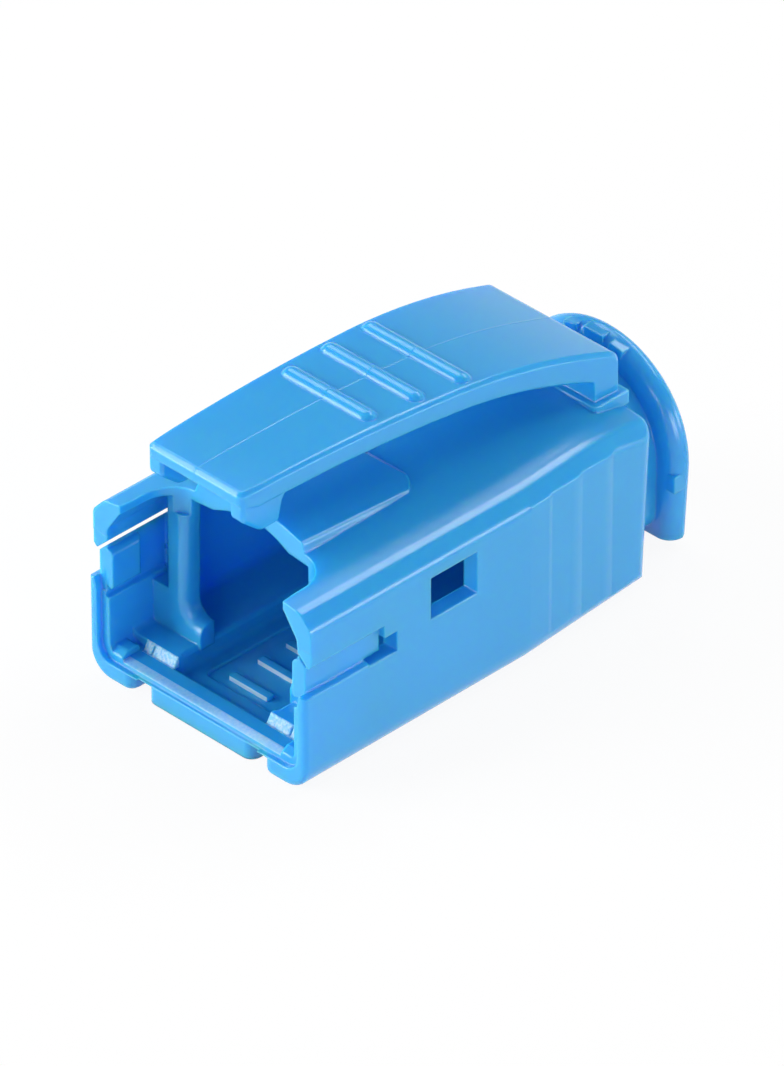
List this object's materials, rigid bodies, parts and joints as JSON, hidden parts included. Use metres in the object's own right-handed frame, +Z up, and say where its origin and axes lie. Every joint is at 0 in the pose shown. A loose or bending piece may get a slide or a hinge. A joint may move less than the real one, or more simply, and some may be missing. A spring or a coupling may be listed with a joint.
{
  "type": "rj45 strain relief boot",
  "caption": "One-piece moulded strain relief boot for a modular network plug: open box body with split snap jaws, arched latch guard and flanged cable outlet.",
  "frame": {"origin": "middle of the bounding box at the flat underside it rests on", "axes": "+Z up towards the latch guard, +Y towards the cable outlet, +X to the right when looking along +Y into the plug socket"},
  "size_m": [0.014, 0.0266, 0.0147],
  "materials": {
    "boot": "satin gloss, slightly translucent blue"
  },
  "bodies": {
    "root": {"boot": "boot"}
  },
  "joints": []
}
